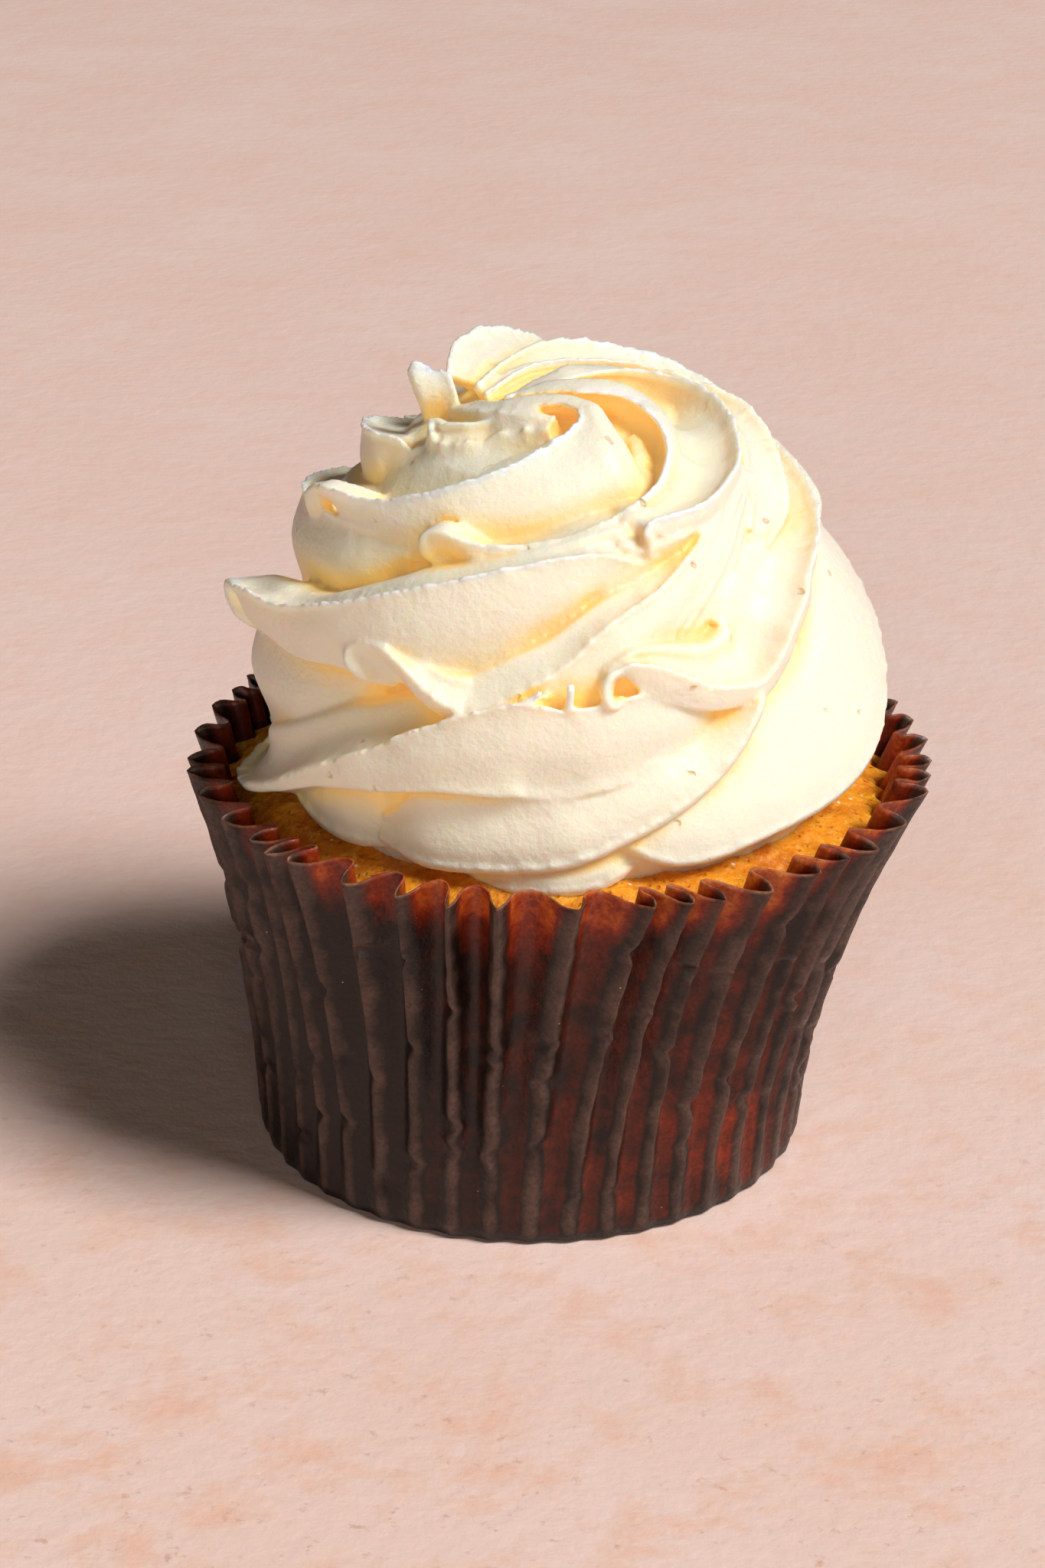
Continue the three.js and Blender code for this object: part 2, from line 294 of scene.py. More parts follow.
# Each ridge is a list of crest keys, with one side for each key or one for the whole ridge. A key is
# (path angle, height, reach), the angle counted on through the turns; a side is (face, rise, inset, bulge).
# The face runs down from the crest and bulges out, and behind the crest a hollow runs "rise" up and
# "inset" in to the foot of the next ridge. A ridge with a lip is a thin sheet for "lip" mm of its run,
# thicker by "curl" on its lower side and "sheetRoot" deep, and swells over the next "swell" mm.
# "tuck" and "hollow" scale how far the face is undercut and the hollow sinks, "root" is how deep the
# ridge reaches in, "thickness" scales its tip and "torn" how ragged its crest is.
ridges = {
    "rightPetal": {
        "keys": [
            (6, 41, 25), (21, 38.2, 27.2), (42, 39.2, 27.8), (65, 40.2, 28.4), (80, 42.6, 29.1),
            (95, 48, 28.8), (108, 53, 27), (120, 57, 24)],
        "sides": [
            (0.6, 6, 3), (0.6, 9, 3.6), (0.6, 10, 4), (0.9, 10, 5), (1.5, 10, 6), (2.4, 9, 6.8),
            (3, 8, 6.4), (3, 6, 5)], "hollow": -0.3},
    "backFoot": {
        "keys": [(95, 37.6, 26), (130, 38, 28.3), (165, 42, 28), (195, 48, 27), (215, 52, 25)],
        "sides": (4, 9, 4)},
    "backLeftFoot": {
        "keys": [
            (165, 37.6, 27.5), (195, 41, 27.8), (235, 47, 27.6), (270, 50.3, 27), (298, 52.5, 26.2),
            (320, 54, 24.2)],
        "sides": [(3, 6, 4), (5, 4, 4), (9, 2, 4, 0.8), (10, 1, 5, 1.2), (10.5, 1, 5, 1.2), (10, 1, 5, 1)],
        "tuck": 0.2},
    "leftFoot": {
        "keys": [(225, 37.6, 26), (245, 37.4, 27.4), (260, 38, 27)],
        "sides": (2, 6, 3)},
    "frontBand": {
        "keys": [
            (262, 36.6, 27), (278, 36.9, 29), (290, 38.2, 29.8), (300, 40.2, 29.8), (312, 43.7, 29.5),
            (321, 46.2, 29), (325.5, 47.3, 28.6), (334.2, 49.9, 28.3), (343, 51.8, 27.9),
            (350.5, 53, 27.6), (355, 53, 27.4), (359.9, 52.5, 27.1), (364, 52.7, 27), (372, 53.2, 26.5),
            (380, 53.1, 25.9), (388, 53, 25), (396, 53.2, 24)],
        "sides": [
            (0.8, 4, 3), (0.8, 4.6, 3.6), (0.6, 5, 3.4), (0.6, 5, 3.4), (1.4, 4.4, 3.6, 0.1),
            (3, 4, 3.8, 0.2), (3.8, 3.4, 4, 0.3), (5.8, 2.4, 4.4, 0.4), (7.6, 1, 5, 0.5),
            (8.5, 0.5, 5, 0.5), (8.6, 0.6, 4.6, 0.5), (8.2, 1, 4, 0.5), (7.8, 1, 3.4, 0.5),
            (7.8, 0.8, 2.6, 0.5), (7, 0.8, 2.4, 0.4), (6, 0.8, 2.2, 0.4), (4.6, 0.8, 2, 0.3)],
        "tuck": 0.05},
    "tornFlap": {
        "keys": [(351.5, 52.3, 27.3), (353.6, 53.5, 27.4), (356, 54.4, 27.5)],
        "sides": (0.9, 0.4, 0.6), "root": 1},
    "tornSpike": {
        "keys": [(360.4, 51.6, 26.9), (360.8, 53.2, 27.2), (361.2, 54.9, 27.5)],
        "sides": (0.5, 0.5, 0.6), "lip": 9, "thickness": 0.8, "sheetRoot": 0.9},
    "skirt": {
        "keys": [
            (323, 38, 26), (336, 37.6, 27.2), (360, 38.7, 27.3), (372.8, 41, 27), (382, 43.2, 27),
            (387, 44.7, 27), (391.5, 46.4, 27), (396.2, 49.1, 27), (399, 51.2, 26.8), (400.5, 52.4, 25.4),
            (401.5, 53, 23.5)],
        "sides": [
            (0.7, 6, 1), (0.7, 7, 1.2), (0.7, 7.5, 1.5), (0.7, 7, 1.8), (0.8, 5.5, 2.2), (0.8, 4.4, 3),
            (0.8, 3.2, 3.6), (0.8, 2.4, 4), (0.8, 1.6, 4), (0.8, 1.4, 3), (0.8, 1.4, 2)], "hollow": -0.3},
    "startBlob": {
        "keys": [
            (281, 39.2, 23.4), (290, 38.2, 25.2), (302, 37.6, 26.2), (316, 37.4, 26.6), (330, 38, 25)],
        "sides": [(1.2, 5, 3), (1, 7, 3), (0.8, 8, 3), (0.8, 8, 3), (0.8, 7, 3)], "hollow": -0.6},
    "lowLip": {
        "keys": [(338, 36.6, 24), (346, 36, 26), (358, 35.9, 26.7), (368, 36.6, 26.4), (378, 38, 24.6)],
        "sides": (0.8, 3, 1.6), "hollow": -0.6},
    "leaf": {
        "keys": [
            (370.4, 53.7, 26.3), (370.1, 53.1, 26.8), (368.9, 52.9, 27.1), (367.6, 53.4, 27.2),
            (367.1, 54.4, 27.2), (367.9, 55.4, 27.1), (369.7, 56.1, 27), (372.1, 56.4, 26.9),
            (375.1, 56.2, 26.8), (379.6, 55.4, 26.7), (383.9, 54.3, 26.6), (389.5, 53.1, 26.5),
            (394.7, 52.7, 26.5), (399.7, 52.6, 26.5), (404.5, 54.3, 26.4), (408.1, 56.4, 26.2),
            (413.9, 58.3, 25.6), (417, 59.7, 25), (425, 61, 24), (436, 62.4, 22.8), (448, 63.6, 21.4),
            (465, 65, 19.5), (482, 66, 17.5)],
        "sides": [
            *[(0.8, 2, 1)] * 4, (0.8, 1.4, 1), (0.8, 0.8, 1), (1, 0.6, 1.2), (1.6, 0.8, 1.6),
            (2.4, 1.2, 2), (2.8, 1.8, 2.4), (2.6, 2.4, 2.8), (2.2, 3.2, 3.2), (2, 4.2, 3.6),
            (1.8, 5, 4.2), (1.6, 5, 4.8), (1.6, 4.8, 5.2), (1.8, 4.2, 5.6), (2.2, 3.4, 5.8),
            (3, 1.5, 4.5), (4, 0.6, 3.8), (4, 0.8, 3.6), (4, 2, 4), (4, 2, 3)],
        "lip": 3.6, "swell": 3.4, "thickness": 0.9, "curl": 0.8, "sheetRoot": 3},
    "backBandLow": {
        "keys": [(448, 51, 25), (470, 53.5, 26.8), (500, 58, 25.5), (525, 62, 22), (545, 64.5, 19)],
        "sides": (5, 7, 3.4)},
    "backBandHigh": {
        "keys": [(498, 51, 25.5), (520, 53, 26.6), (545, 58, 25), (570, 62, 22), (590, 64.5, 19)],
        "sides": (5, 7, 3.4)},
    "leftBand": {
        "keys": [
            (548, 52.5, 25), (585, 57.5, 24.8), (615, 61, 23.2), (634, 62.2, 22.9), (660, 62.8, 21.6),
            (678, 62.6, 19.8)],
        "sides": [
            (4, 5, 3), (6, 3, 4), (8, 1.5, 4.4, 0.8), (9, 1, 5, 1.5), (9, 0.8, 5, 1.4), (9, 0.8, 5, 1)]},
    "middleBand": {
        "keys": [
            (636, 50.2, 26), (640, 50.9, 27.4), (640.7, 52, 29), (639, 53.2, 29.8), (638, 54.2, 30),
            (640.5, 55.3, 30), (646.7, 56.1, 29.9), (653, 56.8, 29.6), (658, 56.8, 29.2),
            (663.2, 57.1, 28.7), (671.1, 58.3, 28.1), (680.7, 59.8, 27.2), (690, 61.4, 26.2),
            (700, 62.7, 25), (710, 63.8, 23.8), (721, 64.3, 22.6), (728.3, 64.2, 21.8),
            (732.5, 63.6, 21.5), (737, 63, 21.2), (741.9, 63.2, 20.8), (750, 62.8, 19.5)],
        "sides": [
            *[(1.5, 0.5, 3)] * 5, (1.8, 0.5, 3.5), (2.5, 0.2, 4), (3.2, 0.1, 4.4), (3.6, 0, 4.6),
            (4.6, 0.2, 4.6), (5.4, 0.4, 4.4, 0.2), (7.2, 0.6, 4.2, 0.4), (9.2, 0.6, 4, 0.5),
            (9.7, 0.3, 3.8, 0.5), (9.2, 0.2, 3.4, 0.5), (8.4, 0.6, 3, 0.4), (7.2, 1.4, 2.6, 0.3),
            (6.4, 2.4, 2.4, 0.3), (5.4, 2.4, 2.2, 0.2), (4, 2.4, 2, 0.1), (2.5, 2.4, 2)],
        "lip": 9, "swell": 5, "tuck": 0.15, "hollow": 0.6},
    "curledLip": {
        "keys": [
            (687.1, 52.6, 25.5), (683, 52.9, 27), (680.9, 53.4, 27.6), (679.1, 54, 27.8),
            (678.5, 54.6, 27.8), (679.2, 55.5, 27.6), (681.9, 56.2, 27.4), (685.2, 56.2, 27.4),
            (688.3, 55.7, 27.5), (691.2, 54.8, 27.6), (693.8, 53.8, 27.6), (696.5, 52.9, 27.6),
            (699.7, 52.2, 27.5), (702.8, 51.9, 27.3), (708.5, 52.8, 26.8), (713.2, 53.9, 26.4),
            (719.6, 55.6, 25.8), (726.5, 58.2, 25), (731, 59.6, 24.5), (738.2, 61, 23.6), (747.8, 63, 22),
            (755.3, 64.7, 20.5), (766, 67, 18.5)],
        "sides": [
            *[(1.4, 0.8, 1.5)] * 6, (1.2, 0.5, 1.4), (1.2, 0.6, 1.6), (1.2, 0.8, 1.8), (1.2, 1.1, 2),
            (1.2, 1.5, 2.2), (1.2, 1.9, 2.4), (1.2, 2.3, 2.6), (1.3, 2.6, 2.8), (2, 2.8, 2.8),
            (3.4, 2.8, 2.8), (5, 2.4, 2.8, 0.3), (5.8, 1.8, 2.8, 0.5), (5.6, 1.4, 3, 0.5),
            (4.8, 0.8, 3, 0.4), (3.6, 0.8, 3, 0.3), (3, 0.8, 2, 0.2), (2.6, 0.8, 2)],
        "lip": 7.6, "swell": 9, "hollow": 0, "thickness": 1.1, "curl": 1.5, "sheetRoot": 3.2},
    "fold": {
        "keys": [
            (735, 62, 19.5), (738.6, 62.8, 20.5), (739.6, 63.6, 21.2), (739.4, 64.9, 21.4),
            (738.5, 66.1, 21.4), (740.3, 66.8, 21.3), (744.7, 66.9, 21.1), (753.7, 67.2, 20.7),
            (759.7, 67.7, 20.2), (765.3, 68.4, 19.6), (771.7, 69.1, 18.8), (781, 70.6, 16.8),
            (794, 71.8, 14), (810, 72.7, 10), (820, 73.2, 5.3), (1050, 73, 3), (1022, 71.6, 7)],
        "sides": [
            (2, 2, 1.5), (2, 2.5, 2), (2, 3.5, 2.4), (2, 3.2, 2.8), (2.2, 1.6, 3), (2.6, 0.3, 3.2),
            (2.6, 0, 3.4), (2.4, 0.5, 4.2), (2.2, 0.8, 4.6), (2, 1, 5), (2, 1.2, 5.4), (2, 1.2, 6),
            (2, 1, 6.5), (2, 1, 6.5), (2, 0.8, 3), (1.6, 0.8, 2), (1.6, 0.8, 2)], "lip": 3, "swell": 3},
    "rightFan": {
        "keys": [
            (776, 61.5, 21), (790, 63.3, 20.6), (798, 66, 19.3), (808, 68, 17.8), (818, 69.8, 15.8),
            (827, 71.3, 12), (840, 72.8, 7.5), (960, 73.4, 3), (1010, 72, 7.5)],
        "sides": [
            (3, 5, 2), (3, 5, 3), (3, 4.5, 3.4), (3, 3.2, 4), (3, 2.4, 4.4), (3, 1.3, 3.4),
            (2.4, 0.5, 2.6), (2, 0.5, 2), (2, 0.5, 1.5)]},
    "backFan": {
        "keys": [
            (826, 64.5, 19), (845, 67.6, 17.6), (865, 70.2, 15.4), (885, 72, 12.2), (910, 73.2, 8.5),
            (950, 73.4, 6), (1000, 72.4, 8)],
        "sides": [
            (3, 2, 2.6), (3, 2, 5), (3, 1.6, 5.6), (3, 2.4, 5.6), (3, 2.6, 4), (2.4, 1.2, 2), (2, 0.5, 1)]},
    "backLobe": {
        "keys": [
            (870, 64.5, 18.5), (888, 68, 16.8), (906, 71.4, 13), (926, 73.8, 10.8), (946, 74.6, 10.6),
            (964, 74, 11), (982, 72.2, 10.6)],
        "sides": [
            (3, 3, 2.4), (3, 2, 3), (3, 0.6, 2.2), (3, 0, 3.4), (3, 0.2, 4.4), (3, 0.4, 4.4), (3, 0.8, 3)],
        "hollow": 0},
    "narrowLobe": {
        "keys": [
            (989, 67.5, 12), (991, 69.5, 12.6), (992, 71.5, 13.3), (992, 73, 13.7), (991.5, 74.2, 13.4)],
        "sides": (1.1, 1, 0.4), "root": 3.4, "tuck": 0.3},
    "leftPetal": {
        "keys": [
            (946, 64, 18), (972, 66.6, 18.2), (990, 67.8, 17.8), (1000, 68.1, 16.8), (1007, 68, 15),
            (1011, 67.4, 14.2), (1014, 68, 13.4)],
        "sides": [
            (5, 0.5, 4), (6, -0.4, 4.5, 0.2), (7, -0.8, 5, 0.4), (7, -0.8, 5, 0.4), (7, -0.4, 3.6, 0.4),
            (6, 0.2, 2.6, 0.2), (6, 0.8, 2)], "hollow": 0.2},
    "tornRim": {
        "keys": [
            (1010, 69.6, 12.4), (1013, 69.8, 12.8), (1022, 69, 13.4), (1034, 69.4, 12.4),
            (1046, 70, 10.8), (1060, 70.6, 10.4), (1072, 71.4, 10.6)],
        "sides": (4, 2, 1), "torn": 2.2},
    "upperBand": {
        "keys": [
            (1000, 59.5, 20.5), (1002.5, 61, 22.3), (1005.4, 62.9, 23.2), (1006.2, 63.8, 23.3),
            (1008.5, 64.8, 23.1), (1012.3, 65.3, 22.7), (1019, 65.5, 22), (1024.4, 65.4, 21.2),
            (1030, 65.7, 20.5), (1038, 66.6, 19.5), (1047, 67.7, 18.4), (1058, 69, 16.8),
            (1068, 70.3, 15), (1080, 71.7, 12.4), (1087, 72.7, 10.6), (1084, 73.2, 9.2),
            (1070, 73.1, 8.4), (1046, 72.4, 8.6), (1020, 71, 9)],
        "sides": [
            *[(1.4, 0.5, 3)] * 4, (1.8, -0.6, 3.6), (2.6, -1.6, 4), (3.8, -2, 4.2, 0.1),
            (4.2, -2, 4.4, 0.2), (4.8, -1.8, 4.6, 0.3), (5.8, -1.2, 5, 0.5), (7, -0.6, 5, 0.8),
            (8.8, 0, 5, 1.2), (10, 0.3, 4.4, 1.7), (10.4, 0.4, 2.4, 2), (2.4, 0.4, 1.6, 0.5),
            *[(1, 0.4, 1.5)] * 4],
        "lip": 8, "swell": 5, "tuck": 0.1, "hollow": 0.7, "curl": 0.9, "sheetRoot": 2.2},
    "tipLip": {
        "keys": [
            (1048.4, 60.8, 20), (1048.5, 62.1, 21.1), (1047, 62.8, 21.6), (1046.3, 63.5, 21.8),
            (1046.3, 64.1, 21.8), (1047.6, 64.7, 21.7), (1050.2, 65, 21.6), (1055, 64.7, 21.4),
            (1061.3, 64.3, 21.1), (1066.1, 64.3, 20.8), (1073.2, 64.6, 20.2), (1080.4, 64.9, 19.7),
            (1089.2, 65.9, 19), (1097.8, 67, 18.3), (1106.4, 68.2, 17.4), (1112, 69.4, 16.2),
            (1117, 70.8, 14.6), (1120, 72.3, 11.8), (1117, 73.3, 8.4), (1090, 73.5, 6), (1030, 72.4, 7)],
        "sides": [
            *[(1.2, 0.8, 1.4)] * 4, (1.2, 0.8, 1.6), (1.4, 0.2, 2.4), (2, -0.4, 3, 0.2),
            (2.8, -0.5, 3.6, 0.3), (3.2, -0.4, 4, 0.4), (3.4, -0.2, 4, 0.4), (3.2, 0.1, 4, 0.4),
            (2.8, 0.2, 3.6, 0.3), (2.6, 0.3, 3.6, 0.2), (2.2, 0.2, 4), (1.8, 0.3, 4.6), (1.8, 0.8, 5),
            (1.8, 1.2, 5.2), (1.8, 0.6, 4.6), (1.6, 0.2, 3.4), (1.6, 0.2, 1.4), (1.6, 0.2, 1.4)],
        "lip": 6, "swell": 5, "hollow": 1.3, "thickness": 1.1, "curl": 1.4, "sheetRoot": 2.2},
    "troughFloor": {
        "keys": [
            (24, 55.9, 22.8), (30, 58.2, 22.1), (36, 60.5, 21.6), (42, 62.4, 20.8), (48, 64.3, 19.8),
            (56, 66.2, 18.7), (62, 67.6, 17.6)],
        "sides": (3, 3, 1.2), "thickness": 2.4, "hollow": -0.6},
    "hairFloor": {
        "keys": [(35, 70.4, 10), (34.5, 70, 11.2), (33, 69.3, 12.7), (30, 68.5, 14), (27, 67.7, 15.2)],
        "sides": (1.6, 1.6, 1), "thickness": 2, "hollow": -0.6},
    "foldFloor": {
        "keys": [
            (12, 64.5, 20.6), (15, 64.3, 20.9), (18, 64.1, 21), (24, 64.5, 21), (29, 64.9, 20.8),
            (35, 65, 20)],
        "sides": (1.6, 1.4, 1.2), "thickness": 1.6, "hollow": -0.6},
    "rimFloor": {
        "keys": [
            (1000, 70.4, 10.4), (1015, 70.9, 9.8), (1030, 71.4, 9.6), (1046, 71.9, 9.6),
            (1062, 72.1, 9.7), (1074, 72, 9.9)],
        "sides": (1.6, 1.4, 1.4), "thickness": 1.8, "hollow": -0.6},
}

blade = {
    "tip": 0.34, "root": 9.0, "sheetRoot": 4.5, "tuck": 0.12, "dip": 0.17, "swell": 5,
    "spanSteps": 16, "spacing": 0.35, "fewestSteps": 8, "steady": 0.3,
    "domeReach": (18, 3), "domeTilt": 60,
    "endRun": 4, "startSize": 0.4, "endSize": 0.3, "ringParts": 4,
    "serration": 0.24, "sheetSerration": 0.4, "coarseWave": 0.8, "fineWave": 2.3, "fineShare": 0.8,
    "crestWidth": 0.6, "crestDepth": 1.5, "outwardShare": 0.7,
}


# centripetal spline through the keys, walked in even steps: points, tangents, sides and the run so far
def crestLine(keys, sides):
    spacing = blade["spacing"]
    knots = [aroundSwirl(*key) for key in keys]
    knots = [2 * knots[0] - knots[1]] + knots + [2 * knots[-1] - knots[-2]]
    points, widths = [], []
    for i in range(1, len(knots) - 2):
        p = knots[i - 1:i + 3]
        t = [0.0]
        for a, b in zip(p, p[1:]):
            t.append(t[-1] + max(1e-3, np.linalg.norm(b - a)) ** 0.5)
        for share in np.linspace(0, 1, blade["spanSteps"] + 1)[:-1]:
            s = t[1] + (t[2] - t[1]) * share
            a1 = [p[k] + (p[k + 1] - p[k]) * (s - t[k]) / (t[k + 1] - t[k]) for k in range(3)]
            a2 = [a1[k] + (a1[k + 1] - a1[k]) * (s - t[k]) / (t[k + 2] - t[k]) for k in range(2)]
            points.append(a2[0] + (a2[1] - a2[0]) * (s - t[1]) / (t[2] - t[1]))
            widths.append([mix(a, b, share) for a, b in zip(sides[i - 1], sides[i])])
    points.append(knots[-2])
    widths.append(sides[-1])
    points, widths = np.array(points), np.array(widths)
    length = np.concatenate([[0], np.cumsum(np.linalg.norm(np.diff(points, axis=0), axis=1))])
    walk = np.linspace(0, length[-1], max(blade["fewestSteps"], int(length[-1] / spacing)) + 1)
    even = np.stack([np.interp(walk, length, points[:, k]) for k in range(3)], axis=1)
    widths = np.stack([np.interp(walk, length, widths[:, k]) for k in range(4)], axis=1)
    tangents = []
    for i in range(len(even)):
        span = max(1, int(blade["steady"] * max(widths[i][:2]) / spacing))
        step = even[min(i + span, len(even) - 1)] - even[max(i - span, 0)]
        tangents.append(step / np.linalg.norm(step))
    return even, tangents, widths, walk


# outwards from the swirl's axis, and more and more upwards near the peak
def outwards(at, along):
    across = np.array([at[0] - axisX, at[1] - axisY, 0.0])
    reach = max(0.1, np.linalg.norm(across))
    tilt = math.radians(blade["domeTilt"]) * smooth(*blade["domeReach"], reach)
    out = across / reach * math.cos(tilt) + np.array([0, 0, math.sin(tilt)])
    out -= along * np.dot(out, along)
    return out / np.linalg.norm(out)


# closed smooth outline through a ring of control points
def smoothRing(points, parts):
    points = np.array(points)
    ring = []
    for i in range(len(points)):
        a, b, c, d = (points[(i + k) % len(points)] for k in (-1, 0, 1, 2))
        for t in np.arange(parts) / parts:
            ring.append(0.5 * (2 * b + (c - a) * t + (2 * a - 5 * b + 4 * c - d) * t * t
                               + (3 * b - a - 3 * c + d) * t ** 3))
    return np.array(ring)


# cross-section of a ridge: points (up along the surface, out from the crest) round it, from a thin
# sheet at full 0 to the broad ridge at full 1, both with the crest's edge at their first point
def bladeSection(side, ridge, full):
    face, rise, inset, bulge = side
    tip = blade["tip"] * ridge.get("thickness", 1)
    root = ridge.get("root", blade["root"])
    tuck = ridge.get("tuck", blade["tuck"]) * face
    low = min(tip, 0.3 * face)
    size = math.hypot(rise, inset)
    dip = blade["dip"] * ridge.get("hollow", 1) * size
    deep = max(root, inset + 3) if root > 2 else root

    def behind(share, depth):
        return (rise * share - inset / size * dip * depth, -inset * share - rise / size * dip * depth)

    broad = [
        (0.1, 0), (-low, -0.5 * low), (-0.42 * face, bulge - 0.04 * face - 0.15),
        (-0.82 * face, bulge - 0.6 * tuck - 0.05 * face - 0.25),
        (-face, 0.8 * bulge - tuck - 0.5 * min(1, root)),
        (-0.95 * face - 0.3 * max(0, dip), -tuck - min(2.6, 0.8 * root)),
        (-0.8 * face - max(0, dip) - 0.4, -tuck - deep),
        (rise - 1.2, -deep), behind(1, 0), behind(0.6, 1), behind(0.25, 0.8), (tip, -0.6 * tip),
    ]
    flat = ridge.get("sheetRoot", blade["sheetRoot"])
    curl = ridge.get("curl", 0)
    sheet = [
        (0, 0), (-tip, -0.6 * tip), (-1.1 * tip - 0.5 * curl, -0.27 * flat),
        (-1.2 * tip - 0.85 * curl, -0.5 * flat), (-1.2 * tip - curl, -0.7 * flat),
        (-1.2 * tip - curl, -0.9 * flat), (-1.2 * tip - curl, -flat), (1.2 * tip, -flat),
        (1.2 * tip, -0.75 * flat), (1.2 * tip, -0.5 * flat), (1.1 * tip, -0.27 * flat), (tip, -0.6 * tip),
    ]
    points = [(mix(s[0], b[0], full), mix(s[1], b[1], full)) for s, b in zip(sheet, broad)]
    return smoothRing(points, blade["ringParts"])


def ridgeMesh(name, ridge, seed):
    sides = ridge["sides"]
    if not isinstance(sides, list):
        sides = [sides] * len(ridge["keys"])
    sides = [(*side, 0)[:4] for side in sides]
    points, tangents, widths, walk = crestLine(ridge["keys"], sides)
    lip, swell = ridge.get("lip", 0), ridge.get("swell", blade["swell"])
    rings = []
    for at, along, side, run in zip(points, tangents, widths, walk):
        out = outwards(at, along)
        up = np.cross(out, along)
        end = mix(blade["endSize"], 1, smooth(0, blade["endRun"], walk[-1] - run))
        if not lip:
            end *= mix(blade["startSize"], 1, smooth(0, blade["endRun"], run))
        full = smooth(lip, lip + swell, run) if lip else 1
        section = bladeSection((side[0] * end, side[1] * end, side[2], side[3] * end), ridge, full)
        coarse = noise.noise(Vector((run * blade["coarseWave"], seed * 7.3, 0)))
        fine = noise.noise(Vector((run * blade["fineWave"], seed * 3.1, 5)))
        torn = blade["serration"] * ridge.get("torn", 1) * (coarse + blade["fineShare"] * fine)
        torn *= mix(blade["sheetSerration"], 1, full)
        crest = np.exp(-(section[:, 0] / blade["crestWidth"]) ** 2) * (section[:, 1] > -blade["crestDepth"])
        section = section + np.stack([crest * torn, crest * torn * blade["outwardShare"]], axis=1)
        rings.append(at + np.outer(section[:, 0], up) + np.outer(section[:, 1], out))
    count = len(rings[0])
    vertices = np.concatenate(rings + [[rings[0].mean(axis=0)], [rings[-1].mean(axis=0)]])
    faces = loftFaces(len(rings), count)
    first, last = len(vertices) - 2, len(vertices) - 1
    for i in range(count):
        j = (i + 1) % count
        faces.append((first, j, i))
        faces.append((last, (len(rings) - 1) * count + i, (len(rings) - 1) * count + j))
    return meshObject(name, vertices * mm, faces)


# the body under the ridges, as (reach, height) from its foot to its top
heart = [(0, 34.6), (24, 34.6), (25.4, 38), (24.4, 43), (22.6, 49), (20.6, 53), (19.6, 58), (17, 63),
         (13.5, 67.6), (9, 70.2), (0, 71.2)]
heartParts = 96


def heartMesh():
    rings = [[aroundSwirl(360 * i / heartParts, height, max(reach, 0.01)) for i in range(heartParts)]
             for reach, height in heart]
    faces = loftFaces(len(rings), heartParts)
    faces.append(tuple(range(heartParts - 1, -1, -1)))
    faces.append(tuple((len(rings) - 1) * heartParts + i for i in range(heartParts)))
    return meshObject("heart", np.concatenate(rings) * mm, faces)


creamMesh = {"voxel": 0.24, "quickVoxel": 0.6, "smoothing": 1, "smoothShare": 0.5, "triangles": 196000}


def creamSwirl():
    parts = [heartMesh()]
    for seed, (name, ridge) in enumerate(ridges.items()):
        parts.append(ridgeMesh(name, ridge, seed))
    bpy.ops.object.select_all(action="DESELECT")
    for part in parts:
        part.select_set(True)
    bpy.context.view_layer.objects.active = parts[0]
    bpy.ops.object.join()
    cream = bpy.context.object
    cream.name = cream.data.name = "cream_swirl"
    voxel = creamMesh["voxel"]
    applyModifier(cream, "REMESH", mode="VOXEL", voxel_size=voxel * mm)
    applyModifier(cream, "SMOOTH", factor=creamMesh["smoothShare"], iterations=creamMesh["smoothing"])
    cream.data.calc_loop_triangles()
    share = creamMesh["triangles"] / len(cream.data.loop_triangles)
    if share < 1:
        applyModifier(cream, "DECIMATE", ratio=share)
    shadeSmooth(cream)
    return cream


cream = creamSwirl()
print("cream swirl:", len(cream.data.polygons), "faces")


# wide creases, narrow seams and thin edges, which carry the cream's painted shade and painted highlight:
# rays of "reach" mm from each point, outwards with side 1 and inwards with side -1, and then evened out with
# the neighbours in "passes"
creases = {
    "crease": {"reach": 9, "rays": 14, "passes": 3, "side": 1},
    "seamShade": {"reach": 2.6, "rays": 16, "passes": 2, "side": 1},
    "edge": {"reach": 1.6, "rays": 10, "passes": 1, "side": -1},
}
probe = {"seed": 5, "goldenTurn": 2.399963, "fullTurn": 6.283, "lift": 0.15, "quickRays": 6}


# how deep each point lies in a crease, from 0 in the open to 1 where all rays stop at once
def addCreases(obj, name, reach, rays, passes, side):
    mesh = obj.data
    tree = BVHTree.FromObject(obj, bpy.context.evaluated_depsgraph_get())
    rng = random.Random(probe["seed"])
    fan = []
    for i in range(rays):
        turn = i * probe["goldenTurn"]
        tilt = math.sqrt((i + 0.5) / rays)
        fan.append((tilt * math.cos(turn), tilt * math.sin(turn), math.sqrt(1 - tilt * tilt)))
    depth = np.zeros(len(mesh.vertices))
    for v in mesh.vertices:
        normal = v.normal * side
        across = normal.orthogonal().normalized()
        spin = rng.random() * probe["fullTurn"]
        across = across * math.cos(spin) + normal.cross(across) * math.sin(spin)
        other = normal.cross(across)
        start = v.co + normal * probe["lift"] * mm
        total = 0.0
        for x, y, z in fan:
            hit = tree.ray_cast(start, across * x + other * y + normal * z, reach)
            if hit[3] is not None:
                total += 1 - hit[3] / reach
        depth[v.index] = total / rays
    edges = np.zeros(len(mesh.edges) * 2, dtype=np.int64)
    mesh.edges.foreach_get("vertices", edges)
    edges = edges.reshape(-1, 2)
    for _ in range(passes):
        total = depth.copy()
        count = np.ones(len(depth))
        np.add.at(total, edges[:, 0], depth[edges[:, 1]])
        np.add.at(total, edges[:, 1], depth[edges[:, 0]])
        np.add.at(count, edges[:, 0], 1)
        np.add.at(count, edges[:, 1], 1)
        depth = total / count
    addAttribute(obj, name, depth)


